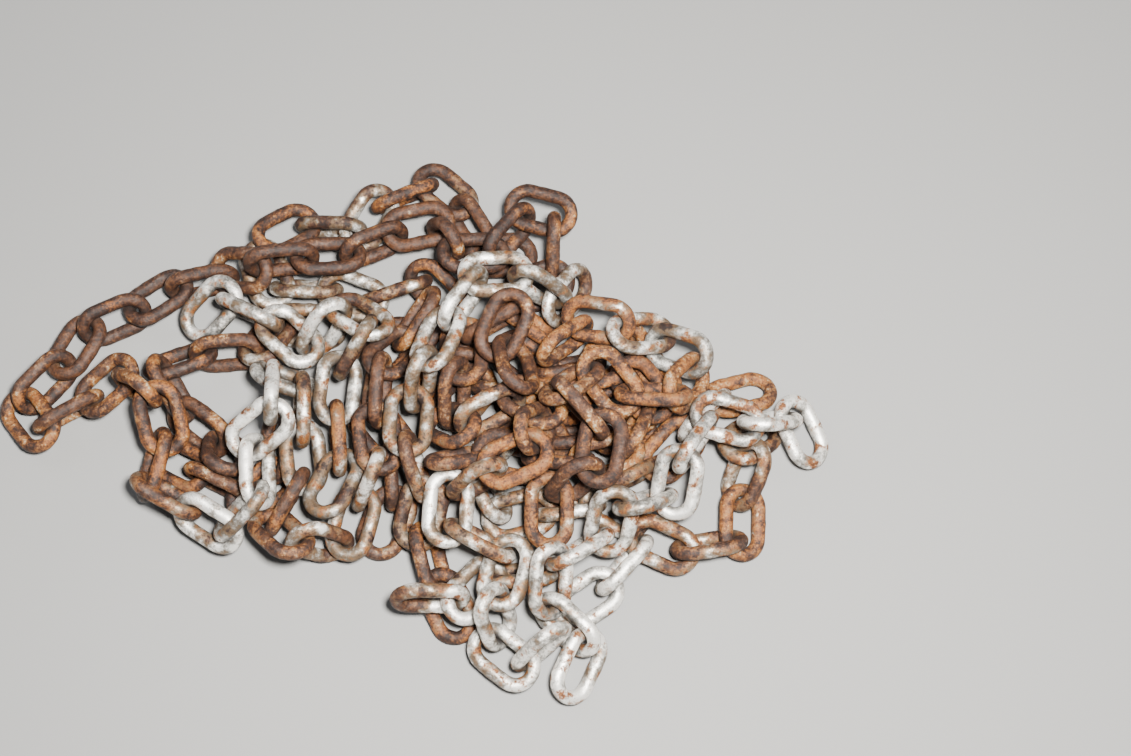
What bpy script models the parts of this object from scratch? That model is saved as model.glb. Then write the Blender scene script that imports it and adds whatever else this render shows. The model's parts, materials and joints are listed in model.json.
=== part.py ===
"""A loose heap of old iron chain, lying on the floor as it was dropped.

Metres, +Z up, floor at z = 0, +X along the heap's longest side. Every link is the same ring of
round bar. The lists below give, for each length of chain, where each link's middle lies in plan,
how high it is and how far it is rolled about its own long axis. The laying step then fits the
links together: hooked links bear on each other at their crowns, links that cross rest one on the
other, and nothing goes through the floor.
"""
import math

import bpy
import numpy as np
from mathutils import Matrix

for old in list(bpy.data.objects):
    bpy.data.objects.remove(old, do_unlink=True)

# One link. The bar is drawn six-sided, with the same section area as the round bar.
bar_diameter = 0.0140
inside_length = 0.0480
inside_width = 0.0200
ridge_radius = 0.55 * bar_diameter
crown_radius = 0.5 * (inside_width + bar_diameter)
crown_spacing = inside_length - inside_width
crown_step = math.radians(45.0)
corner_reach = 1 / math.cos(crown_step / 2)
bar_sides = 6

# How links meet: hooked links of one run sink into each other by the bite, the next run hangs on
# by the slip, and links that only cross keep the clearance.
bite = 0.0012
slip = 0.0004
clearance = 0.0004
links_per_run = 3
least_twist = math.radians(70.0)
most_swing = math.radians(70.0)

# How the heap is laid, in passes. The steps and reaches are counted in bar diameters.
passes = 420
last_passes = 140
hook_turns = 4
hook_share = 0.65
bearing_reach = 0.8
mass_reach = 1.85
untangle_step = 0.09
longest_step = 0.3
largest_turn = 0.15
homing = 0.06
sinking = 0.02

# Links, by their number in their list, that end with a side bar flat on the floor.
seated_links = {"floor_centre": (1, 3, 13), "rust_loop": (15,), "lower_grey": (1,),
                "grey_top": (9,), "bottom_left": (2,)}

# Each row is one link: x, y and height of its middle, and its roll in degrees, where 0 lies flat
# and 90 stands on its edge. Places are counted in 48ths of a link's inside length, which are
# millimetres at this size. The lengths of chain are listed from the floor up.
place = inside_length / 48
strands = {
    "floor_centre": [
        (18, 72, 13, 15), (62, 64, 22, 65), (106, 52, 13, 15), (150, 56, 22, 65), (194, 66, 13, 15),
        (232, 46, 22, 60), (238, 2, 13, 15), (196, -10, 22, 65), (152, -4, 13, 15), (108, -12, 22, 65),
        (64, -16, 13, 15), (62, -60, 22, 65), (106, -74, 13, 15), (150, -68, 22, 60), (192, -84, 13, 10),
    ],
    "floor_left": [
        (-226, -36, 26, 20), (-190, -58, 16, 60), (-148, -60, 13, 15), (-118, -32, 18, 60),
    ],
    "floor_side": [
        (-30, 76, 13, 15), (-44, 34, 22, 65), (-46, -10, 13, 15), (-36, -52, 22, 65),
        (-22, -94, 13, 15),
    ],
    "lower_grey": [
        (-158, 156, 13, 10), (-112, 142, 14, 60), (-66, 144, 14, 10), (-24, 140, 24, 70), (10, 134, 14, 10),
    ],
    "left_low": [
        (-120, 104, 14, 60), (-158, 88, 13, 10), (-194, 68, 24, 70), (-228, 76, 18, 10),
        (-236, 38, 28, 65), (-212, -2, 26, 10), (-186, -36, 34, 60),
    ],
    "right_low": [
        (318, 26, 14, 15), (272, 8, 36, 60), (232, -22, 28, 15), (192, -50, 36, 60),
    ],
    "low_right": [
        (172, -168, 13, 15), (202, -134, 24, 60), (238, -122, 15, 15), (270, -104, 28, 65),
        (314, -90, 14, 10), (302, -50, 34, 60), (330, -24, 22, 15),
    ],
    "middle_layer": [
        (44, 34, 38, 15), (88, 36, 46, 65), (132, 30, 38, 15), (176, 34, 46, 65), (214, 24, 38, 15),
        (218, -18, 46, 65), (176, -40, 38, 15), (132, -38, 46, 65), (88, -44, 38, 15),
        (46, -46, 46, 65),
    ],
    "rust_loop": [
        (112, 160, 22, 15), (150, 176, 38, 65), (122, 214, 34, 20), (72, 206, 44, 60),
        (44, 168, 40, 15), (26, 200, 60, 60), (-8, 206, 46, 20), (-32, 172, 36, 65),
        (-80, 165, 34, 20), (-128, 162, 26, 70), (-177, 162, 26, 10), (-222, 149, 28, 75),
        (-265, 131, 14, 5), (-309, 110, 24, 75), (-340, 86, 14, 10), (-362, 48, 28, 60),
        (-376, 12, 14, 15), (-336, -2, 26, 65), (-300, 14, 26, 20), (-270, 44, 44, 60),
        (-248, 12, 48, 15), (-258, -28, 30, 65), (-232, -66, 20, 20), (-188, -86, 24, 60),
        (-144, -94, 24, 15), (-154, -46, 46, 65), (-122, -22, 58, 15), (-138, 8, 70, 60),
        (-126, 46, 50, 20), (-94, 12, 42, 65), (-88, -36, 24, 15), (-112, -72, 22, 70),
        (-122, -112, 13, 10), (-92, -106, 42, 70), (-68, -98, 18, 10), (-36, -66, 40, 60),
        (-34, -14, 52, 20), (-42, 34, 44, 65), (-20, 72, 44, 20), (4, 108, 34, 60),
    ],
    "back_strand": [
        (-122, 186, 14, 15), (-84, 200, 30, 65), (-50, 216, 28, 15), (-22, 242, 34, 50),
        (14, 232, 22, 15), (44, 208, 28, 65), (84, 186, 16, 15),
    ],
    "white_loop": [
        (-198, 98, 20, 15), (-158, 118, 38, 60), (-124, 88, 28, 15), (-92, 94, 46, 65),
        (-46, 104, 44, 15), (-54, 62, 50, 60), (-74, 26, 34, 15), (-68, -20, 44, 60),
        (-64, -68, 46, 20),
    ],
    "bottom_left": [
        (26, -166, 36, 60), (58, -152, 24, 15), (98, -150, 18, 60),
    ],
    "brown_top": [
        (112, 88, 44, 15), (72, 100, 56, 65), (52, 64, 60, 20), (32, 22, 60, 60),
        (40, -26, 46, 15), (76, 2, 66, 60), (112, 12, 68, 15), (122, -26, 82, 60),
        (88, -44, 70, 20), (52, -40, 82, 60), (38, -80, 62, 15), (72, -112, 52, 60),
        (84, -148, 38, 15), (76, -188, 26, 60), (92, -220, 13, 10), (128, -212, 34, 75),
    ],
    "orange_top": [
        (144, 72, 52, 60), (176, 86, 56, 15), (222, 72, 50, 60), (248, 50, 44, 15),
        (250, 8, 56, 70), (214, 18, 52, 20), (194, 50, 72, 60), (150, 30, 72, 20),
        (178, 0, 90, 60), (178, -40, 74, 15), (140, -60, 66, 60), (150, -96, 48, 15),
    ],
    "grey_top": [
        (140, 138, 28, 20), (122, 118, 60, 60), (78, 146, 84, 20), (46, 108, 80, 60),
        (30, 62, 70, 20), (8, 22, 62, 60), (-6, -16, 54, 20), (-12, -50, 38, 60),
        (-6, -92, 20, 10), (12, -134, 24, 65), (28, -180, 13, 10),
    ],
    "curl": [
        (90, 78, 84, 15), (96, 40, 74, 60),
    ],
    "white_top": [
        (157, -224, 13, 10), (148, -180, 34, 60), (126, -154, 50, 15), (162, -132, 54, 60),
        (188, -96, 62, 20), (220, -82, 60, 60), (258, -64, 64, 20), (256, -26, 74, 60),
        (296, -12, 68, 20), (336, 2, 50, 60), (372, -10, 32, 15),
    ],
}

# The finishes as colour, roughness and metallic value, the finish of each length of chain, and the
# lengths whose first piece has its own number of links.
finishes = {
    "dark_rust": ((0.115, 0.042, 0.022), 0.78, 0.35),
    "orange_rust": ((0.300, 0.110, 0.040), 0.85, 0.15),
    "blotched_zinc": ((0.330, 0.235, 0.165), 0.70, 0.30),
    "dull_zinc": ((0.480, 0.470, 0.440), 0.62, 0.40),
}
finish_of = {
    "floor_centre": "dark_rust", "floor_left": "dark_rust", "floor_side": "dark_rust",
    "lower_grey": "blotched_zinc", "left_low": "dark_rust", "right_low": "blotched_zinc",
    "low_right": "blotched_zinc", "middle_layer": "orange_rust", "rust_loop": "dark_rust",
    "back_strand": "blotched_zinc", "white_loop": "dull_zinc", "bottom_left": "blotched_zinc",
    "brown_top": "orange_rust", "orange_top": "orange_rust", "grey_top": "blotched_zinc",
    "curl": "dark_rust", "white_top": "dull_zinc",
}
first_piece = {"white_top": 1}


def unit(vectors):
    return vectors / np.maximum(np.linalg.norm(vectors, axis=-1, keepdims=True), 1e-12)


def in_places(length):
    """A length in the unit of the lists; rounded, so that a heap of larger links lies the same."""
    return round(length / place, 3)


def link_outline(radius, spacing):
    """Corners of the straight-sided middle line of one link, long axis along x."""
    reach = radius / math.cos(crown_step / 2)
    corners = []
    for side in (1, -1):
        for k in range(4):
            angle = crown_step * (k + 0.5) - side * math.radians(90)
            corners.append((side * spacing / 2 + reach * math.cos(angle), reach * math.sin(angle), 0.0))
    return np.array(corners)


def turned(frames, spin):
    """Frames (links, 3, 3) turned by the rotation vectors spin (links, 3)."""
    angle = np.linalg.norm(spin, axis=1)
    k = spin / np.maximum(angle, 1e-12)[:, None]
    cross = np.zeros((len(spin), 3, 3))
    cross[:, 0, 1], cross[:, 0, 2], cross[:, 1, 0] = -k[:, 2], k[:, 1], k[:, 2]
    cross[:, 1, 2], cross[:, 2, 0], cross[:, 2, 1] = -k[:, 0], -k[:, 1], k[:, 0]
    sine, cosine = np.sin(angle)[:, None, None], np.cos(angle)[:, None, None]
    return (np.eye(3) + sine * cross + (1 - cosine) * (cross @ cross)) @ frames


def nearest_points(p1, q1, p2, q2):
    """Nearest points of pairs of straight pieces p1-q1 and p2-q2."""
    d1, d2, r = q1 - p1, q2 - p2, p1 - p2
    a, e, f = (d1 * d1).sum(1), (d2 * d2).sum(1), (d2 * r).sum(1)
    c, b = (d1 * r).sum(1), (d1 * d2).sum(1)
    room = a * e - b * b
    s = np.where(room > 1e-16, np.clip((b * f - c * e) / np.maximum(room, 1e-16), 0, 1), 0)
    t = (b * s + f) / e
    s = np.where(t < 0, np.clip(-c / a, 0, 1), np.where(t > 1, np.clip((b - c) / a, 0, 1), s))
    t = np.clip(t, 0, 1)
    return p1 + d1 * s[:, None], p2 + d2 * t[:, None]


class Heap:
    """Middles and frames of all links; a frame's columns are long axis, width axis and normal."""

    bar, ridge = in_places(bar_diameter), in_places(ridge_radius)
    radius, spacing = in_places(crown_radius), in_places(crown_spacing)
    bite, slip, clearance = in_places(bite), in_places(slip), in_places(clearance)

    def __init__(self):
        self.middle, self.frame, self.strand, self.piece = [], [], [], []
        for name, rows in strands.items():
            route = np.array([row[:3] for row in rows], float)
            for i, row in enumerate(rows):
                along = unit(route[min(i + 1, len(rows) - 1)] - route[max(i - 1, 0)])
                along = unit(along * np.array([1.0, 1.0, 0.5]))
                side = unit(np.cross([0.0, 0.0, 1.0], along))
                roll = math.radians(row[3])
                normal = math.cos(roll) * np.cross(along, side) + math.sin(roll) * side
                self.middle.append(route[i])
                self.frame.append(np.stack([along, np.cross(normal, along), normal], axis=1))
                self.strand.append(name)
                first = first_piece.get(name, 0)
                runs = max(1, round((len(rows) - first) / links_per_run))
                later = (first > 0) + min((i - first) // links_per_run, runs - 1)
                self.piece.append(0 if i < first else later)
        self.middle, self.frame = np.array(self.middle), np.array(self.frame)
        self.home = self.middle.copy()
        self.count = len(self.middle)
        self.seated = np.array([i in seated_links.get(name, ()) for name, rows in strands.items()
                                for i in range(len(rows))])
        pairs = [i for i in range(self.count - 1) if self.strand[i] == self.strand[i + 1]]
        self.one = np.array(pairs)
        self.two = self.one + 1
        same = np.array([self.piece[i] == self.piece[i + 1] for i in pairs])
        self.sink = np.where(same, self.bite, -self.slip)
        self.bearing_margin = np.where(same, -3 * self.bite, self.slip / 2)
        self.bearing = self.middle[self.one]
        joint_of = np.full(self.count, -1)
        joint_of[self.one] = np.arange(len(pairs))
        left, right = np.triu_indices(self.count, 1)
        names = np.array(self.strand)
        self.left, self.right = left, right
        self.hooked = (names[left] == names[right]) & (right - left < 2)
        self.joint = np.where(self.hooked, joint_of[left], -1)

    def depth(self, link, direction, mitre=1.0):
        """From the bar's middle line to its surface in a direction; mitre is for a corner."""
        upward = np.clip(np.abs((direction * self.frame[link, :, 2]).sum(1)), 0, 1)
        outward = mitre * np.sqrt(1 - upward ** 2)
        return self.ridge * np.maximum(outward, 0.5 * outward + math.sqrt(0.75) * upward)

    def start_moves(self):
        self.shift = np.zeros((self.count, 3))
        self.spin = np.zeros((self.count, 3))

    def push(self, link, point, move):
        """Move a point of a link, shared between a shift of the link and a turn of it."""
        arm = point - self.middle[link]
        size = (arm * arm).sum(1)
        gyration = (mass_reach * self.bar) ** 2
        np.add.at(self.shift, link, move * (gyration / (gyration + size))[:, None])
        np.add.at(self.spin, link, np.cross(arm, move) / (size + gyration)[:, None])

    def apply_moves(self, share):
        """Move and turn all links; the rounding keeps the heap the same on any machine."""
        self.middle = np.round(self.middle + self.shift * share, 6)
        self.frame = np.round(turned(self.frame, self.spin * share), 8)

    def hook(self):
        """Bring hooked links to bear on each other, crown to crown."""
        self.start_moves()
        one, two = self.one, self.two
        along, width, normal = (self.frame[:, :, k] for k in range(3))
        end = self.middle[one] + along[one] * self.spacing / 2
        start = self.middle[two] - along[two] * self.spacing / 2
        pull = unit(np.cross(normal[one], normal[two]))
        lean = start - end + 0.15 * self.spacing * (along[one] + along[two])
        pull *= np.where((pull * lean).sum(1) < 0, -1.0, 1.0)[:, None]
        lines, inside = [], []
        for link, toward in ((one, pull), (two, -pull)):
            sense = np.where(link == one, 1.0, -1.0)[:, None]
            angle = np.arctan2((toward * width[link]).sum(1), (toward * along[link] * sense).sum(1))
            flat = np.round(angle / crown_step) * crown_step
            inside.append(self.radius / np.cos(angle - flat))
            facing = along[link] * sense * np.cos(flat)[:, None] + width[link] * np.sin(flat)[:, None]
            lines.append(np.cross(normal[link], facing))
            swing = np.maximum(np.abs(angle) - most_swing, 0)
            axis = unit(np.cross(along[link] * sense, toward))
            np.add.at(self.spin, link, axis * (0.3 * swing)[:, None])
        across = unit(np.cross(lines[0], lines[1]))
        depth = self.depth(one, across) + self.depth(two, across)
        length = inside[0] + inside[1] - depth / np.abs((across * pull).sum(1))
        self.bearing = (end + pull * inside[0][:, None] + start - pull * inside[1][:, None]) / 2
        gap = end + (length + self.sink)[:, None] * pull - start
        self.push(two, start, gap / 2)
        self.push(one, end, -gap / 2)
        skew = (normal[one] * normal[two]).sum(1)
        excess = np.sign(skew) * np.maximum(np.abs(skew) - math.cos(least_twist), 0)
        square = unit(np.cross(normal[one], normal[two])) * (0.5 * excess)[:, None]
        np.add.at(self.spin, one, -square)
        np.add.at(self.spin, two, square)
        self.apply_moves(hook_share)

    def find_near(self):
        apart = np.linalg.norm(self.middle[self.left] - self.middle[self.right], axis=1)
        near = apart < self.spacing + 2 * self.radius + 3 * self.bar
        self.near_left, self.near_right = self.left[near], self.right[near]
        self.near_joint, self.near_hooked = self.joint[near], self.hooked[near]

    def part_crossings(self, thick, pressed):
        """Push apart links that cross, and lift clear any that pass through each other."""
        corners = link_outline(self.radius, self.spacing)
        count = len(corners)
        here = self.middle[:, None, :] + np.einsum("nij,mj->nmi", self.frame, corners)
        there = np.roll(here, -1, axis=1)
        left, right = self.near_left, self.near_right
        reach = (2 * self.ridge * corner_reach + self.clearance) * thick
        centres = (here + there) / 2
        half = np.linalg.norm(there - here, axis=2) / 2
        apart = np.linalg.norm(centres[left][:, :, None] - centres[right][:, None], axis=3)
        apart -= half[left][:, :, None] + half[right][:, None]
        pair, a, b = np.nonzero(apart < reach)
        p, q = nearest_points(here[left[pair], a], there[left[pair], a],
                              here[right[pair], b], there[right[pair], b])
        away = unit(p - q)
        joint = self.near_joint[pair]
        from_bearing = np.linalg.norm((p + q) / 2 - self.bearing[joint], axis=1)
        bears = (joint >= 0) & (from_bearing < bearing_reach * self.bar)
        room = np.linalg.norm(p - q, axis=1) - np.where(bears, self.bearing_margin[joint], self.clearance)
        for link, near, start, stop in ((left, p, here[left[pair], a], there[left[pair], a]),
                                        (right, q, here[right[pair], b], there[right[pair], b])):
            ends = np.minimum(np.abs(near - start).sum(1), np.abs(near - stop).sum(1)) < 1e-6
            room -= self.depth(link[pair], away, np.where(ends, corner_reach, 1.0)) * thick
        gap = np.full((len(left), count * count), self.bar)
        gap[pair, a * count + b] = room
        number = np.full((len(left), count * count), -1)
        number[pair, a * count + b] = np.arange(len(pair))
        best = gap.argmin(axis=1)
        closest = gap[np.arange(len(left)), best]

        local = np.einsum("kji,kmj->kmi", self.frame[left], here[right] - self.middle[left][:, None])
        after = np.roll(local, -1, axis=1)
        through = (local[..., 2] > 0) != (after[..., 2] > 0)
        drop = local[..., 2] - after[..., 2]
        part = local[..., 2] / np.where(np.abs(drop) < 1e-12, 1e-12, drop)
        hit = local[..., :2] + part[..., None] * (after[..., :2] - local[..., :2])
        outside = np.maximum(np.abs(hit[..., 0]) - self.spacing / 2, 0)
        inside = through & (np.hypot(outside, hit[..., 1]) < self.radius)
        caught = (inside.sum(axis=1) % 2 == 1) & ~self.near_hooked
        above = self.home[left, 2] >= self.home[right, 2]
        lift = np.zeros((len(left), 3))
        lift[:, 2] = np.where(caught, np.where(above, 1, -1), 0) * untangle_step * self.bar
        np.add.at(self.shift, left, lift)
        np.add.at(self.shift, right, -lift)

        close = np.nonzero((closest < 0) & ~caught)[0]
        spot = number[close, best[close]]
        move = away[spot] * (-closest[close] / 2)[:, None]
        self.push(left[close], p[spot], move)
        self.push(right[close], q[spot], -move)
        ring = unit(corners - np.sign(corners[:, :1]) * [self.spacing / 2, 0.0, 0.0])
        droop = corner_reach * np.maximum(-self.frame[:, 2] @ ring.T, 0)
        slant = math.sqrt(0.75) * np.abs(self.frame[:, 2, 2])[:, None]
        sole = here[..., 2] - self.ridge * np.maximum(droop, 0.5 * droop + slant)
        lowest = sole.argmin(axis=1)
        links = np.arange(self.count)
        foot = here[links, lowest]
        rise = np.zeros((self.count, 3))
        rise[:, 2] = np.maximum(-sole[links, lowest], 0)
        if pressed:
            seated = self.seated
            rise[seated, 2] = -sole[links, lowest][seated]
            leg = math.sqrt(0.75) * self.frame[seated, :, 1] - 0.5 * self.frame[seated, :, 2]
            self.spin[seated] += 0.2 * np.cross(leg, [0.0, 0.0, -1.0])
        self.push(links, foot, rise)

    def settle(self):
        for step in range(passes + last_passes):
            done = min(step / passes, 1.0)
            for _ in range(hook_turns):
                self.hook()
            if step % 4 == 0:
                self.find_near()
            self.start_moves()
            thick = min(1.0, 0.35 + 1.2 * done)
            self.part_crossings(thick, done > 0.7)
            homeward = (self.home - self.middle) * homing * (1 - done)
            homeward[:, 2] *= 0.5
            if 0.3 < done < 0.92:
                homeward[:, 2] -= sinking * self.bar * (1 - done)
            self.shift += homeward
            length = np.linalg.norm(self.shift, axis=1, keepdims=True)
            self.shift *= np.minimum(1, longest_step * self.bar / np.maximum(length, 1e-9))
            angle = np.linalg.norm(self.spin, axis=1, keepdims=True)
            self.spin *= np.minimum(1, largest_turn / np.maximum(angle, 1e-9))
            self.apply_moves(1.0)


def link_mesh():
    """One link as a six-sided bar, with flats above and below and a ridge inside and outside."""
    corners = link_outline(crown_radius, crown_spacing)
    middle = np.sign(corners[:, :1]) * [crown_spacing / 2, 0.0, 0.0]
    out = (corners - middle) / crown_radius
    points = []
    for corner, direction in zip(corners, out):
        for k in range(bar_sides):
            angle = 2 * math.pi * k / bar_sides
            point = corner + direction * ridge_radius * math.cos(angle)
            points.append((point[0], point[1], ridge_radius * math.sin(angle)))
    count = len(corners)
    faces = []
    for i in range(count):
        for k in range(bar_sides):
            j, m = (i + 1) % count, (k + 1) % bar_sides
            faces.append((i * bar_sides + k, j * bar_sides + k, j * bar_sides + m, i * bar_sides + m))
    mesh = bpy.data.meshes.new("link")
    mesh.from_pydata(points, [], faces)
    mesh.update()
    return mesh


def material(name):
    colour, roughness, metallic = finishes[name]
    made = bpy.data.materials.new(name)
    made.use_nodes = True
    shader = made.node_tree.nodes["Principled BSDF"]
    shader.inputs["Base Color"].default_value = (*colour, 1.0)
    shader.inputs["Roughness"].default_value = roughness
    shader.inputs["Metallic"].default_value = metallic
    return made


def build():
    heap = Heap()
    heap.settle()
    heap.middle *= place
    mesh = link_mesh()
    points = np.array([vertex.co for vertex in mesh.vertices])
    world = heap.middle[:, None] + np.einsum("nij,mj->nmi", heap.frame, points)
    low, high = world.min(axis=(0, 1)), world.max(axis=(0, 1))
    heap.middle -= [(low[0] + high[0]) / 2, (low[1] + high[1]) / 2, low[2]]

    pieces = bpy.data.collections.new("chain_heap")
    hidden = bpy.data.collections.new("joined_links")
    bpy.context.scene.collection.children.link(pieces)
    bpy.context.scene.collection.children.link(hidden)
    materials = {name: material(name) for name in finishes}
    runs = {}
    for i in range(heap.count):
        runs.setdefault((heap.strand[i], heap.piece[i]), []).append(i)
    for (strand, piece), links in runs.items():
        copy = mesh.copy()
        copy.materials.append(materials[finish_of[strand]])
        name = "end_link" if (strand, piece) == ("white_top", 0) else f"{strand}_{piece + 1}"
        run = bpy.data.objects.new(name, copy)
        pieces.objects.link(run)
        for i in links:
            stance = Matrix([[*heap.frame[i][r], heap.middle[i][r]] for r in range(3)] + [[0, 0, 0, 1]])
            if i == links[0]:
                run.matrix_world = stance
                continue
            helper = bpy.data.objects.new(f"{name}_link_{i - links[0] + 1}", copy)
            helper.matrix_world = stance
            helper.hide_render = True
            helper.display_type = "WIRE"
            hidden.objects.link(helper)
            join = run.modifiers.new(f"join_{i - links[0]}", "BOOLEAN")
            join.operation = "UNION"
            join.solver = "EXACT"
            join.object = helper


build()
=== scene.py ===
# A loose heap of old chain on a pale floor: welded links of round bar, part rusty, part still zinc coated.
import itertools
import json
import math

import bpy
import numpy as np
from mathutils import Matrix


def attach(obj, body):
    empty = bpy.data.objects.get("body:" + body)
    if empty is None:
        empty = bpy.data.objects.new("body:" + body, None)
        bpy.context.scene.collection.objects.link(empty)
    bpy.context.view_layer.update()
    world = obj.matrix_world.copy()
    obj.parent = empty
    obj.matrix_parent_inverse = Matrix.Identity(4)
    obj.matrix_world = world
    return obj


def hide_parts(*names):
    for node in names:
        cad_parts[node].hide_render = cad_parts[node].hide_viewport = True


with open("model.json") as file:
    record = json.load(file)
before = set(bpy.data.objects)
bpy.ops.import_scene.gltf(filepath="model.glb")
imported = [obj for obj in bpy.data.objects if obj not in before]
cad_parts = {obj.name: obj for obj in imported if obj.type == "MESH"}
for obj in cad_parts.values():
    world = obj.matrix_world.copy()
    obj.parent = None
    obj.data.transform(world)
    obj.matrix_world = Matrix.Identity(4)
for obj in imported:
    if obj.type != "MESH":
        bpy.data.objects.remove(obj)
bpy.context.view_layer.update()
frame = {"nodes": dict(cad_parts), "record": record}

print("frame loaded,", len(frame["nodes"]), "runs of chain")


def unit(vectors):
    return vectors / np.maximum(np.linalg.norm(vectors, axis=-1, keepdims=True), 1e-12)


def triangles(node):
    # corners of a node's triangles, as (triangle, corner, xyz)
    mesh = node.data
    mesh.calc_loop_triangles()
    place = np.empty(len(mesh.vertices) * 3)
    mesh.vertices.foreach_get("co", place)
    index = np.empty(len(mesh.loop_triangles) * 3, int)
    mesh.loop_triangles.foreach_get("vertices", index)
    return place.reshape(-1, 3)[index.reshape(-1, 3)]


# The links of the frame: their size, from the one run that is a single link, and where each one lies

def measureLink(node):
    # spread of the corners about their own middle: widest along, then across, least through the link
    points = np.unique(np.round(triangles(node).reshape(-1, 3), 6), axis=0)
    points -= points.mean(axis=0)
    spread = points @ np.linalg.svd(points, full_matrices=False)[2].T
    length, width, thickness = np.ptp(spread, axis=0)
    ridge = thickness / math.sqrt(3)        # the bar is six-sided there, flat above and below
    crown = width / 2 - ridge
    return {"ridge": ridge, "crown": crown, "spacing": length - width, "thickness": thickness}


link = measureLink(frame["nodes"]["end_link"])
print("a link is", {key: round(value * 1000, 2) for key, value in link.items()}, "mm")


search = {
    "crownStep": 45.0,          # degrees between the corners of a crown
    "leastArea": 2e-7,          # square metres below which a triangle is left out
    "sameWay": 0.99995,         # least cosine between the normals of one plane
    "samePlane": 6e-5,          # metres between planes that count as one
    "leastShare": 0.4,          # of a link's flat side that the links it is joined to leave free
    "backToBack": -0.9999,      # greatest cosine between the normals of a link's two sides
    "thicknessOff": 2e-4,       # metres that the distance between those sides may be off
    "nearCorner": 0.35,         # of the ridge, within which a corner is taken for a known one
    "rounds": 6,                # of fitting a link's turn
    "anyWay": (0.3, 0.5, 0.81),     # a direction that is no link's normal
}


def flatCorners():
    # corners of one flat side of a link in its own plane: four round each crown, outside and inside
    half = search["crownStep"] / 2
    turn = np.radians(half + search["crownStep"] * np.arange(4))
    points = []
    for side in (1, -1):
        out = np.stack([np.cos(turn - side * math.pi / 2), np.sin(turn - side * math.pi / 2)], axis=1)
        for off in (0.5, -0.5):
            reach = (link["crown"] + off * link["ridge"]) / math.cos(math.radians(half))
            points.append(out * reach + [side * link["spacing"] / 2, 0])
    return np.concatenate(points)


def flatSides(node):
    # groups of triangles in one plane that are wide enough to be a whole side of a link
    corners = triangles(node)
    normal = np.cross(corners[:, 1] - corners[:, 0], corners[:, 2] - corners[:, 0])
    area = np.linalg.norm(normal, axis=1) / 2
    real = area > search["leastArea"]
    corners, normal, area = corners[real], unit(normal[real]), area[real]
    height = (normal * corners.mean(axis=1)).sum(1)
    sameHeight = np.abs(height[:, None] - height) < search["samePlane"]
    together = (normal @ normal.T > search["sameWay"]) & sameHeight
    enough = search["leastShare"] * link["ridge"] * (2 * link["spacing"] + 2 * math.pi * link["crown"])
    left, sides = np.ones(len(area), bool), []
    while True:
        wide = ((together & left) @ area) * left
        seed = wide.argmax()
        if wide[seed] < enough:
            return sides
        group = together[seed] & left
        share = area[group] / area[group].sum()
        sides.append((unit(share @ normal[group]), share @ height[group], corners[group], area[group]))
        left &= ~group


def spin(turn):
    # the matrix that turns points in a plane: cosine and minus sine, then sine and cosine
    return np.array([[math.cos(turn), -math.sin(turn)], [math.sin(turn), math.cos(turn)]])


def linkPoses(node):
    # middle and axes (long, wide, normal) of each link of a run: two flat sides back to back make a link,
    # and its turn in its own plane is the one that brings their corners onto the known ones
    known = flatCorners()
    poses = []
    for one, other in itertools.combinations(flatSides(node), 2):
        thicknessOff = abs(one[1] + other[1] - link["thickness"])
        if one[0] @ other[0] > search["backToBack"] or thicknessOff > search["thicknessOff"]:
            continue
        normal = one[0]
        corners = np.concatenate([one[2], other[2]])
        weight = np.concatenate([one[3], other[3]])
        centre = (corners.mean(axis=1) * weight[:, None]).sum(0) / weight.sum()
        first = unit(np.cross(normal, search["anyWay"]))
        second = np.cross(normal, first)
        points = np.unique(np.round(corners.reshape(-1, 3), 6), axis=0) - centre
        flat = np.stack([points @ first, points @ second], axis=1)
        turn = 0.5 * math.atan2(2 * (flat[:, 0] * flat[:, 1]).mean(), (flat ** 2).mean(0) @ [1, -1])
        shift = np.zeros(2)
        for _ in range(search["rounds"]):
            local = (flat - shift) @ spin(turn)
            apart = np.linalg.norm(local[:, None] - known, axis=2)
            near = apart.min(axis=1) < search["nearCorner"] * link["ridge"]
            have, want = local[near], known[apart.argmin(axis=1)[near]]
            haveOff, wantOff = have - have.mean(0), want - want.mean(0)
            turn -= math.atan2(np.cross(haveOff, wantOff).sum(), (haveOff * wantOff).sum())
            shift = flat[near].mean(0) - spin(turn) @ want.mean(0)
        along = math.cos(turn) * first + math.sin(turn) * second
        middle = centre + shift[0] * first + shift[1] * second
        middle += ((one[1] - other[1]) / 2 - middle @ normal) * normal
        poses.append((middle, np.stack([along, np.cross(normal, along), normal], axis=1)))
    return poses


def chainOrder(before, poses, after):
    # the order of a run's links that makes the shortest way from the run before to the run after
    def way(order):
        stops = [poses[i][0] for i in order]
        length = sum(np.linalg.norm(a - b) for a, b in zip(stops, stops[1:]))
        if before:
            length += np.linalg.norm(before[-1][0] - stops[0])
        if after:
            length += min(np.linalg.norm(pose[0] - stops[-1]) for pose in after)
        return length
    return [poses[i] for i in min(itertools.permutations(range(len(poses))), key=way)]


# One link as a smooth closed surface

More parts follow.
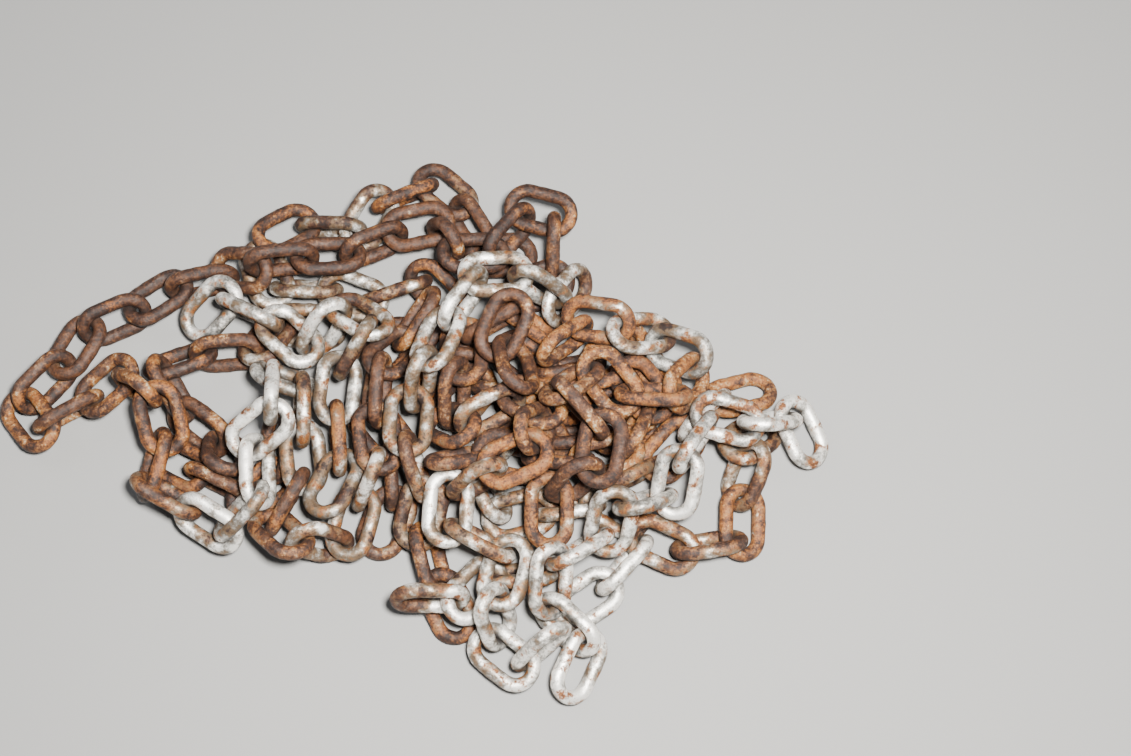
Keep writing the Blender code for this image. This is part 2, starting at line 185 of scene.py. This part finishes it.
bar = {
    "seed": 5,                  # of what differs from link to link
    "radius": 0.91,             # of the six-sided bar's ridge
    "stepsAlong": 64,
    "stepsRound": 16,
    "crownGrowth": 0.0002,      # metres that the round crown lies outside the straight-sided one
    "bow": 0.0004,              # metres that a side bar may bow outwards
    "bowShare": (-0.4, 1),      # of that, from link to link
    "crownWear": 0.14,          # share of the radius worn away inside a crown
    "wearShare": (0.4, 1),      # of that, from link to link
    "wearSpread": 0.12,         # how far the wear goes round the crown, as a loss of sine
    "wearFocus": 1.5,           # how closely it keeps to the inside of the bar, as a power
    "weldSwell": 0.05,          # share of the radius that a weld stands proud
    "weldPlace": (0.35, 0.65),  # along a side bar
    "weldReach": 0.0035,        # metres to either side of its middle
    "sizes": (0.985, 1.015),    # of the radius, from link to link
    "lumps": 0.00022,           # metres from the mean to the top of the rust and scale
    "lumpSizes": (0.021, 0.012, 0.0070, 0.0048),
    "lumpWaves": 4,             # of each size
    "lumpSeed": 17,
    "shadeFrom": 0.5,            # upward share of the surface's normal where the painted shade of the undersides starts
    "shadeOver": 1.1,            # loss of that share until the painted shade is full
    "undersideShade": 0.75,      # strength of the painted shade on the undersides, beside the painted shade in a crevice
    "creviceReach": 0.0035,     # metres of gap over which the painted shade between two bars thins out
    "floorReach": 0.0040,       # metres above the floor over which the painted shade there does
    "floorGap": 1e-5,           # metres from the floor to the lowest surface
}


def ripples(points):
    # a smooth uneven field about 0: plane waves in seeded directions, added up
    dice = np.random.default_rng(bar["lumpSeed"])
    total = np.zeros(points.shape[:-1])
    for size in bar["lumpSizes"]:
        for _ in range(bar["lumpWaves"]):
            wave = unit(dice.normal(size=3)) * 2 * math.pi / size
            total += np.cos(points @ wave + dice.uniform(0, 6.28))      # shifted by up to about a full turn
    return total / math.sqrt(2 * len(bar["lumpSizes"]) * bar["lumpWaves"])


def linkSurfaces(poses):
    # middle line: a point that runs between the crowns' middles, plus the crown radius in a direction that
    # turns by half a circle round each crown; the bar's surface is a circle about that line, made thinner
    # inside the crowns, thicker at the weld and uneven all over
    dice = np.random.default_rng(bar["seed"])
    count = len(poses)
    middle = np.array([pose[0] for pose in poses])[:, None, None]
    axes = np.array([pose[1] for pose in poses])
    crown = link["crown"] + bar["crownGrowth"]
    knots = np.cumsum([0, link["spacing"], math.pi * crown, link["spacing"], math.pi * crown])
    travel = np.arange(bar["stepsAlong"]) / bar["stepsAlong"] * knots[-1]
    core = np.interp(travel, knots, np.array([-1, 1, 1, -1, -1]) * link["spacing"] / 2)
    turn = np.interp(travel, knots, [0, 0, math.pi, math.pi, 2 * math.pi])
    sine, cosine = np.sin(turn)[:, None], np.cos(turn)[:, None]
    around = np.arange(bar["stepsRound"]) / bar["stepsRound"] * 2 * math.pi
    outward, across = np.cos(around), np.sin(around)

    midBar = 1 - (2 * core / link["spacing"]) ** 2      # 1 halfway along a side bar, 0 in the crowns
    ring = crown + bar["bow"] * dice.uniform(*bar["bowShare"], (count, 1)) * midBar
    bearing = np.exp(-((np.abs(np.sin(turn)) - 1) / bar["wearSpread"]) ** 2)[:, None]
    inside = np.maximum(-outward, 0) ** bar["wearFocus"]
    wear = dice.uniform(*bar["wearShare"], (count, 1, 1)) * (bearing * inside)
    weldAt = knots[2] * dice.integers(0, 2, (count, 1))
    weldAt = weldAt + link["spacing"] * dice.uniform(*bar["weldPlace"], (count, 1))
    weld = np.exp(-((travel - weldAt) / bar["weldReach"]) ** 2)[..., None]
    size = dice.uniform(*bar["sizes"], (count, 1, 1))
    radius = bar["radius"] * link["ridge"] * size * (1 - bar["crownWear"] * wear + bar["weldSwell"] * weld)
    flat = np.stack([core[:, None] + ring[..., None] * sine + radius * outward * sine,
                     -ring[..., None] * cosine - radius * outward * cosine, radius * across], axis=-1)
    out = np.stack(np.broadcast_arrays(outward * sine, -outward * cosine, across), axis=-1)
    place = middle + np.einsum("nij,nuvj->nuvi", axes, flat)
    outwards = np.einsum("nij,uvj->nuvi", axes, out)
    lump = ripples(place)
    place += outwards * (bar["lumps"] * (lump - 1))[..., None]
    # painted shade on the undersides: 0 where the surface faces mostly up, rising to 1 as it turns down
    under = np.clip((bar["shadeFrom"] - outwards[..., 2]) / bar["shadeOver"], 0, 1)
    return place, {"wear": np.broadcast_to(wear, lump.shape), "lump": lump, "grime": under}


def pressTogether(place, poses):
    # where a bar would run into the bar of another link, its surface gives way by half of the shortage,
    # straight away from the other bar's middle line, and nothing goes below the floor; what comes back is
    # how deep each point lies in a crevice or close to the floor, used for painted shade: 1 at a bearing
    # point or on the floor, falling off with the gap to the other bar or with the height
    middles = np.array([pose[0] for pose in poses])
    axes = np.array([pose[1] for pose in poses])
    full = bar["radius"] * link["ridge"]
    reach = link["spacing"] + 2 * (link["crown"] + full)
    move = np.zeros_like(place)
    # painted shade near the floor: 1 at the floor, fading upwards
    crevice = np.exp(-place[..., 2] / bar["floorReach"])
    for j in range(len(poses)):
        near = np.nonzero(np.linalg.norm(middles - middles[j], axis=1) < reach)[0]
        near = near[near != j]
        local = (place[near] - middles[j]) @ axes[j]
        arm = local[..., :2].copy()
        arm[..., 0] -= np.clip(arm[..., 0], -link["spacing"] / 2, link["spacing"] / 2)
        inPlane = np.linalg.norm(arm, axis=-1) - link["crown"]
        apart = np.hypot(inPlane, local[..., 2])
        short = np.maximum(full - apart, 0) / 2
        away = np.concatenate([unit(arm) * inPlane[..., None], local[..., 2:]], axis=-1)
        move[near] += unit(away) * short[..., None] @ axes[j].T
        # painted shade between bars: 1 where they touch, fading with the gap
        gap = np.maximum(apart - full, 0)
        crevice[near] = np.maximum(crevice[near], np.exp(-gap / bar["creviceReach"]))
    place += move
    place[..., 2] = np.maximum(place[..., 2], bar["floorGap"])
    return crevice


def ringFaces(count):
    # quads of closed rings, one after another, facing outwards
    along, around = bar["stepsAlong"], bar["stepsRound"]
    first = np.arange(count) * along * around
    ring, u, v = np.meshgrid(first, np.arange(along), np.arange(around), indexing="ij")
    nextU, nextV = (u + 1) % along, (v + 1) % around
    return np.stack([ring + u * around + v, ring + nextU * around + v,
                     ring + nextU * around + nextV, ring + u * around + nextV], axis=-1).reshape(-1, 4)


def meshFrom(name, points, faces, attributes):
    # a smooth mesh of quads, with a number at each point for each attribute
    mesh = bpy.data.meshes.new(name)
    mesh.vertices.add(len(points))
    mesh.vertices.foreach_set("co", points.astype(np.float32).ravel())
    mesh.loops.add(faces.size)
    mesh.loops.foreach_set("vertex_index", faces.ravel().astype(np.int32))
    mesh.polygons.add(len(faces))
    mesh.polygons.foreach_set("loop_start", np.arange(len(faces), dtype=np.int32) * 4)
    mesh.polygons.foreach_set("use_smooth", np.ones(len(faces), bool))
    for key, values in attributes.items():
        attribute = mesh.attributes.new(key, "FLOAT", "POINT")
        attribute.data.foreach_set("value", values.astype(np.float32).ravel())
    mesh.update()
    mesh.validate()
    return mesh


# How much zinc each length of chain still has, and how orange its rust is: (link, zinc, orange) where
# it changes, counted from the length's first link and blended between

coatAlong = {
    "floor_centre": [(0, 0.05, 0.5), (6, 0.15, 0.7), (9, 0.20, 0.6), (10, 0.60, 0.5), (14, 0.60, 0.6)],
    "floor_left": [(0, 0.30, 0.8), (1, 0.10, 0.5), (3, 0.35, 0.5)],
    "floor_side": [(0, 0.20, 0.2), (2, 0.30, 0.4), (4, 0.30, 0.4)],
    "lower_grey": [(0, 0.55, 0.2), (2, 0.65, 0.2), (3, 0.40, 0.3), (4, 0.10, 0.3)],
    "left_low": [(0, 0.60, 0.4), (1, 0.45, 0.6), (2, 0.08, 0.4), (6, 0.06, 0.35)],
    "right_low": [(0, 0.50, 0.8), (1, 0.35, 0.8), (2, 0.60, 0.3), (3, 0.30, 0.8)],
    "low_right": [(0, 0.85, 0.2), (1, 0.85, 0.3), (2, 0.60, 0.8), (4, 0.35, 0.8), (6, 0.60, 0.7)],
    "middle_layer": [(0, 0.15, 0.5), (4, 0.20, 0.8), (7, 0.30, 0.6), (9, 0.35, 0.6)],
    "rust_loop": [(0, 0.02, 0.15), (11, 0.03, 0.15), (16, 0.08, 0.25), (19, 0.05, 0.5), (21, 0.10, 0.5),
                  (22, 0.40, 0.5), (23, 0.80, 0.3), (28, 0.82, 0.3), (29, 0.65, 0.8), (30, 0.70, 0.5),
                  (31, 0.10, 0.2), (32, 0.35, 0.6), (34, 0.70, 0.4), (35, 0.65, 0.5), (36, 0.35, 0.6),
                  (37, 0.15, 0.4), (39, 0.08, 0.3)],
    "back_strand": [(0, 0.10, 0.3), (1, 0.55, 0.2), (2, 0.55, 0.2), (3, 0.15, 0.6), (4, 0.35, 0.4),
                    (6, 0.05, 0.2)],
    "white_loop": [(0, 0.76, 0.3), (3, 0.78, 0.4), (4, 0.65, 0.7), (5, 0.50, 0.6), (6, 0.75, 0.2),
                   (7, 0.35, 0.8), (8, 0.60, 0.5)],
    "bottom_left": [(0, 0.55, 0.5), (1, 0.72, 0.4), (2, 0.65, 0.5)],
    "brown_top": [(0, 0.12, 0.9), (1, 0.05, 0.15), (2, 0.22, 0.5), (3, 0.34, 0.7), (4, 0.28, 0.8),
                  (5, 0.50, 0.7), (6, 0.10, 0.5), (7, 0.22, 0.4), (8, 0.32, 0.8), (9, 0.55, 0.7),
                  (10, 0.80, 0.4), (11, 0.65, 0.7), (12, 0.80, 0.5), (15, 0.88, 0.4)],
    "orange_top": [(0, 0.28, 0.8), (1, 0.36, 0.8), (2, 0.62, 0.8), (3, 0.78, 0.6), (4, 0.34, 0.9),
                   (5, 0.38, 0.7), (6, 0.24, 0.7), (7, 0.36, 0.5), (8, 0.12, 0.30), (9, 0.08, 0.2),
                   (10, 0.18, 0.3), (11, 0.46, 0.8)],
    "grey_top": [(0, 0.60, 0.2), (2, 0.72, 0.4), (4, 0.72, 0.5), (6, 0.58, 0.6), (8, 0.48, 0.7),
                 (9, 0.20, 0.5), (10, 0.30, 0.8)],
    "curl": [(0, 0.22, 0.1), (1, 0.15, 0.1)],
    "white_top": [(0, 0.92, 0.6), (2, 0.90, 0.6), (4, 0.85, 0.7), (6, 0.95, 0.3), (8, 0.88, 0.6),
                  (10, 0.92, 0.4)],
}
linkLuck = {
    "seed": 3,
    "orange": 0.10,     # how far the orange of a link strays from the table, as a standard deviation
}


# Shader maths: a socket that can be added, multiplied and so on

class Signal:
    def __init__(self, shader, socket):
        self.shader = shader
        self.socket = socket

    def maths(self, operation, *values):
        return self.shader.node("ShaderNodeMath", {"operation": operation}, dict(enumerate(values)))

    def __add__(self, other):
        return self.maths("ADD", self, other)

    def __sub__(self, other):
        return self.maths("SUBTRACT", self, other)

    def __mul__(self, other):
        return self.maths("MULTIPLY", self, other)

    def __rsub__(self, other):
        return self.maths("SUBTRACT", other, self)

    __radd__ = __add__
    __rmul__ = __mul__

    def atMost(self, other):
        return self.maths("MINIMUM", self, other)

    def atLeast(self, other):
        return self.maths("MAXIMUM", self, other)

    def step(self, low, high):
        # 0 below low, 1 above high, smooth between
        return self.shader.node("ShaderNodeMapRange", {"interpolation_type": "SMOOTHSTEP"},
                                {"Value": self, "From Min": low, "From Max": high})


class Finish:
    def __init__(self, name):
        self.material = bpy.data.materials.new(name)
        self.material.use_nodes = True
        self.tree = self.material.node_tree
        self.surface = self.tree.nodes["Principled BSDF"]
        self.place = self.node("ShaderNodeTexCoord", {}, {}, "Object")

    def node(self, kind, settings, sockets, output=0):
        made = self.tree.nodes.new(kind)
        for key, value in settings.items():
            if key == "stops":
                while len(made.color_ramp.elements) < len(value):
                    made.color_ramp.elements.new(0.5)
                for element, (where, colour) in zip(made.color_ramp.elements, value):
                    element.position = where
                    element.color = (*colour, 1.0)
            else:
                setattr(made, key, value)
        for key, value in sockets.items():
            if isinstance(value, Signal):
                self.tree.links.new(value.socket, made.inputs[key])
            else:
                made.inputs[key].default_value = value
        return Signal(self, made.outputs[output])

    def noise(self, size, detail, roughness, shift=None):
        # the size is that of one spot, in metres; stretched so that most of -0.5 to 0.5 is used
        place = self.place
        if shift:
            place = self.node("ShaderNodeVectorMath", {"operation": "ADD"}, {0: place, 1: shift})
        raw = self.node("ShaderNodeTexNoise", {}, {
            "Vector": place, "Scale": 1 / size, "Detail": detail, "Roughness": roughness})
        return (raw - 0.5) * 2.2

    def cells(self, size):
        return self.node("ShaderNodeTexVoronoi", {}, {"Vector": self.place, "Scale": 1 / size}, "Distance")

    def attribute(self, name):
        return self.node("ShaderNodeAttribute", {"attribute_name": name}, {}, "Fac")

    def ramp(self, value, *stops):
        return self.node("ShaderNodeValToRGB", {"stops": list(stops)}, {"Fac": value}, "Color")

    def mix(self, share, one, other):
        # sockets 0, 6 and 7 are the share and the two colours, and 2 is the colour that comes out
        one, other = (c if isinstance(c, Signal) else (*c, 1.0) for c in (one, other))
        return self.node("ShaderNodeMix", {"data_type": "RGBA"}, {0: share, 6: one, 7: other}, 2)

    def set(self, socket, value):
        if isinstance(value, Signal):
            self.tree.links.new(value.socket, self.surface.inputs[socket])
        else:
            self.surface.inputs[socket].default_value = value


coatColours = {
    # colour of the painted shade on the undersides, near the floor and where bars meet
    "paintedShade": (0.009, 0.005, 0.003),
    "pit": (0.011, 0.004, 0.002),
    "maroon": (0.028, 0.010, 0.005),
    "brown": (0.060, 0.022, 0.008),
    "red": (0.120, 0.041, 0.013),
    "orange": (0.240, 0.078, 0.014),
    "ochre": (0.275, 0.130, 0.035),
    "dust": (0.380, 0.310, 0.220),
    # colour of the painted sheen on the rust's high spots
    "paintedSheen": (0.080, 0.054, 0.043),
    "zincDark": (0.064, 0.067, 0.069),
    "zincTan": (0.170, 0.165, 0.153),
    "zincGrey": (0.450, 0.430, 0.390),
    "zincBloom": (0.980, 0.950, 0.890),
    "blush": (0.200, 0.130, 0.075),
    "halo": (0.330, 0.225, 0.105),
    "stain": (0.215, 0.066, 0.008),
}


spots = {   # size in metres, detail and roughness of each noise
    "field": (0.034, 2.0, 0.5),
    "broad": (0.015, 3.0, 0.55),
    "middling": (0.0050, 4.0, 0.65),
    "speckle": (0.0022, 5.0, 0.7),
    "grain": (0.0005, 3.0, 0.7),
    "blots": (0.0130, 3.0, 0.55, (4.0, 1.0, 7.0)),      # moved aside, so that it differs from the others
}
everyCoat = {
    "pitSize": 0.0030,      # metres between pits
    "pitRadius": 0.34,      # share of that size
    "pitDepth": 1.6,        # beside the noises of the relief
    "shadeCover": 0.85,      # share of the colour below that the darkest painted shade hides
    "metallic": 0.7,        # of clean zinc
    "leastRough": 0.28,
    "specular": 0.45,
}


def makeCoat(name, roughRust, roughZinc, rustRelief, zincRelief):
    coat = Finish(name)
    tint = coatColours
    zinc, orange, wear, lump, grime, shade = (
        coat.attribute(key) for key in ("zinc", "orange", "wear", "lump", "grime", "shade"))
    field, broad, middling, speckle, grain, blots = (
        coat.noise(*spots[key]) for key in ("field", "broad", "middling", "speckle", "grain", "blots"))
    pit = everyCoat["pitRadius"] - coat.cells(everyCoat["pitSize"])
    aside = shade - 0.5

    # rust: maroon to red-brown, with orange and ochre fields and a painted grey-violet sheen on the high
    # spots
    tone = 0.44 + broad * 0.35 + middling * 0.40 + speckle * 0.50 + aside * 0.16
    rust = coat.ramp(tone, (0.22, tint["pit"]), (0.36, tint["maroon"]), (0.50, tint["brown"]),
                     (0.72, tint["red"]))
    bright = coat.ramp(0.44 + speckle * 0.55 + middling * 0.45 + broad * 0.4 + aside * 0.24,
                       (0.16, tint["brown"]), (0.35, tint["red"]), (0.52, tint["orange"]),
                       (0.68, tint["ochre"]), (0.82, tint["dust"]))
    fire = (orange * 0.74 + field * 0.9 + broad * 0.7 + middling * 0.35 + speckle * 0.3).step(0.26, 0.76)
    rust = coat.mix(fire, rust, bright)
    # painted sheen: a grey-violet tint mixed into the rust on its high spots, standing in for reflected
    # light; the rust is also made smoother there
    paintedSheen = (lump * 0.3 + middling * 0.7 + broad * 0.3).step(0.0, 0.45) * (1 - fire)
    rust = coat.mix(paintedSheen * 0.45, rust, tint["paintedSheen"])

    # zinc: grey with a white bloom, darkened by painted shade on the undersides, near the floor and where
    # bars meet so that the upper sides read lighter, and rust that comes through it, in fields with a tan
    # rim and in round stains with a pale yellow rim
    # painted shade: the bloom is made darker on the undersides, near the floor and where bars meet
    bloomAndShade = (zinc * 0.68 + field * 0.6 + broad * 0.65 + middling * 0.35 + speckle * 0.35 + aside * 0.24
             - grime * 0.55)
    white = coat.ramp(bloomAndShade, (0.10, tint["zincDark"]), (0.28, tint["zincTan"]), (0.48, tint["zincGrey"]),
                      (0.70, tint["zincBloom"]))
    hold = zinc + field * 0.55 + broad * 0.42 + middling * 0.2 + speckle * 0.1 - wear * 0.12
    coated = hold.step(0.42, 0.60)
    clean = hold.step(0.50, 0.82)
    colour = coat.mix(coated, rust, coat.mix(clean, tint["blush"], white))
    seep = orange * 0.42 + blots * 1.05 + middling * 0.35 + speckle * 0.35
    seeped = coat.ramp(seep + speckle * 0.5, (0.26, tint["halo"]), (0.38, tint["ochre"]),
                       (0.50, tint["stain"]), (0.66, tint["red"]), (0.86, tint["brown"]))
    colour = coat.mix(seep.step(0.22, 0.58) * coated, colour, seeped)
    stain = seep.step(0.30, 0.62) * coated

    # over both: dark pits, and painted shade on the undersides, near the floor and where bars meet
    colour = coat.mix(pit.step(0.0, 0.25) * (0.6 - coated * 0.4), colour, tint["maroon"])
    # painted shade, blotched a little by noise; the surface is also made rougher and less metallic there
    paintedShade = (grime * 1.15 + speckle * 0.3 + middling * 0.2 - 0.12).step(0.0, 1.0)
    colour = coat.mix(paintedShade * everyCoat["shadeCover"], colour, tint["paintedShade"])

    metal = coated * (1 - stain) * (1 - paintedShade)
    rough = (roughRust - paintedSheen * 0.16 + paintedShade * 0.2) * (1 - metal) + roughZinc * metal + speckle * 0.2
    relief = speckle * 0.6 + grain * 0.3 + middling * 0.9 - pit.atLeast(0.0) * everyCoat["pitDepth"]
    height = relief * (rustRelief * (1 - metal) + zincRelief * metal)
    normal = coat.node("ShaderNodeBump", {}, {"Strength": 1.0, "Distance": 1.0, "Height": height}, "Normal")
    coat.set("Base Color", colour)
    coat.set("Roughness", rough.atLeast(everyCoat["leastRough"]).atMost(1.0))
    coat.set("Metallic", metal * everyCoat["metallic"])
    coat.set("Normal", normal)
    coat.set("Specular IOR Level", everyCoat["specular"])
    return coat.material


coatSettings = {    # relief in metres
    "dark_rust": dict(roughRust=0.58, roughZinc=0.50, rustRelief=0.00042, zincRelief=0.00018),
    "orange_rust": dict(roughRust=0.68, roughZinc=0.50, rustRelief=0.00048, zincRelief=0.00020),
    "blotched_zinc": dict(roughRust=0.62, roughZinc=0.48, rustRelief=0.00042, zincRelief=0.00020),
    "dull_zinc": dict(roughRust=0.60, roughZinc=0.46, rustRelief=0.00038, zincRelief=0.00018),
}


def strandRuns():
    # names of the runs of each length of chain, in order; the loose end link is the first run of white_top
    runs = {}
    for name in frame["nodes"]:
        strand, number = ("white_top", 1) if name == "end_link" else name.rsplit("_", 1)
        runs.setdefault(strand, []).append((int(number), name))
    return {strand: [name for _, name in sorted(runs[strand])] for strand in sorted(runs)}


def findLinks():
    # all links one after another: their poses, their zinc and orange from the table, and for each run its
    # name and where its links start and stop
    poses, zinc, orange, spans = [], [], [], []
    for strand, names in strandRuns().items():
        found = [linkPoses(frame["nodes"][name]) for name in names]
        for k, name in enumerate(names):
            before = found[k - 1] if k else []
            after = found[k + 1] if k + 1 < len(names) else []
            found[k] = chainOrder(before, found[k], after)
            spans.append((name, len(poses), len(poses) + len(found[k])))
            poses += found[k]
        at, zincAt, orangeAt = np.array(coatAlong[strand]).T
        numbers = np.arange(sum(len(run) for run in found))
        zinc += list(np.interp(numbers, at, zincAt))
        orange += list(np.interp(numbers, at, orangeAt))
    print("found", len(poses), "links in", len(spans), "runs")
    return poses, np.array(zinc), np.array(orange), spans


def dressHeap():
    coats = {name: makeCoat(name, **settings) for name, settings in coatSettings.items()}
    slots = {part["node"]: part["material_slot"] for part in frame["record"]["subparts"]}
    poses, zinc, orange, spans = findLinks()
    place, attributes = linkSurfaces(poses)
    crevice = pressTogether(place, poses)
    dice = np.random.default_rng(linkLuck["seed"])
    # painted shade: the stronger of the crevice and floor shade and the underside shade
    attributes["grime"] = np.maximum(crevice, bar["undersideShade"] * attributes["grime"])
    perLink = {
        "zinc": zinc,
        "orange": orange + linkLuck["orange"] * dice.normal(size=len(poses)),
        "shade": dice.uniform(0, 1, len(poses)),
    }
    for key, values in perLink.items():
        attributes[key] = np.broadcast_to(values[:, None, None], crevice.shape)
    for name, start, stop in spans:
        mesh = meshFrom("links_" + name, place[start:stop].reshape(-1, 3), ringFaces(stop - start),
                        {key: values[start:stop] for key, values in attributes.items()})
        mesh.materials.append(coats[slots[name]])
        piece = bpy.data.objects.new("links_" + name, mesh)
        bpy.context.scene.collection.objects.link(piece)
        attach(piece, "root")
        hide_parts(name)
    print("dressed the heap")


dressHeap()


# Floor, light and camera

studio = {
    "floorColour": (0.275, 0.272, 0.266),
    "floorRough": 0.9,
    "floorReach": 6.0,      # metres
    "worldColour": (0.92, 0.95, 1.0),
    "worldStrength": 0.12,
    "aim": (0.15, -0.05, 0.03),
    "lights": [     # name, place, size, power, colour
        ("key", (0.30, -0.34, 1.58), 0.20, 116.0, (1.0, 0.985, 0.95)),
        ("sky", (-1.20, 0.80, 1.50), 1.20, 9.0, (0.93, 0.96, 1.0)),
        ("side", (1.50, 0.30, 1.10), 0.90, 5.0, (1.0, 0.97, 0.94)),
    ],
}
photoView = {
    "place": (0.1489, -0.4858, 1.5923),     # metres from the spot on the floor under the heap's middle
    "lookDown": 71.4,                       # degrees below level
    "focalPixels": 1684.0,
    "imageWidth": 1131.0,
    "sensorWidth": 36.0,                    # millimetres
}


def aimAt(item, target):
    direction = np.array(target) - np.array(item.location)
    item.rotation_euler = (math.atan2(math.hypot(direction[0], direction[1]), -direction[2]), 0.0,
                           math.atan2(-direction[0], direction[1]))


def setStage():
    reach = studio["floorReach"]
    corners = [(x * reach, y * reach, 0) for x, y in ((-1, -1), (1, -1), (1, 1), (-1, 1))]
    mesh = bpy.data.meshes.new("floor")
    mesh.from_pydata(corners, [], [(0, 1, 2, 3)])
    floor = bpy.data.objects.new("floor", mesh)
    bpy.context.scene.collection.objects.link(floor)
    paint = Finish("pale_floor")
    paint.set("Base Color", (*studio["floorColour"], 1.0))
    paint.set("Roughness", studio["floorRough"])
    mesh.materials.append(paint.material)

    for name, place, wide, power, colour in studio["lights"]:
        lamp = bpy.data.lights.new(name, "AREA")
        lamp.shape = "DISK"
        lamp.size = wide
        lamp.energy = power
        lamp.color = colour
        item = bpy.data.objects.new(name, lamp)
        item.location = place
        aimAt(item, studio["aim"])
        bpy.context.scene.collection.objects.link(item)
    world = bpy.data.worlds.new("soft_room")
    world.use_nodes = True
    backdrop = world.node_tree.nodes["Background"]
    backdrop.inputs["Color"].default_value = (*studio["worldColour"], 1.0)
    backdrop.inputs["Strength"].default_value = studio["worldStrength"]
    bpy.context.scene.world = world

    lens = bpy.data.cameras.new("photo_view")
    lens.sensor_width = photoView["sensorWidth"]
    lens.lens = photoView["focalPixels"] / photoView["imageWidth"] * lens.sensor_width
    camera = bpy.data.objects.new("photo_view", lens)
    camera.location = photoView["place"]
    camera.rotation_euler = (math.radians(90 - photoView["lookDown"]), 0.0, 0.0)
    bpy.context.scene.collection.objects.link(camera)
    bpy.context.scene.camera = camera
    print("floor, light and camera set")


setStage()
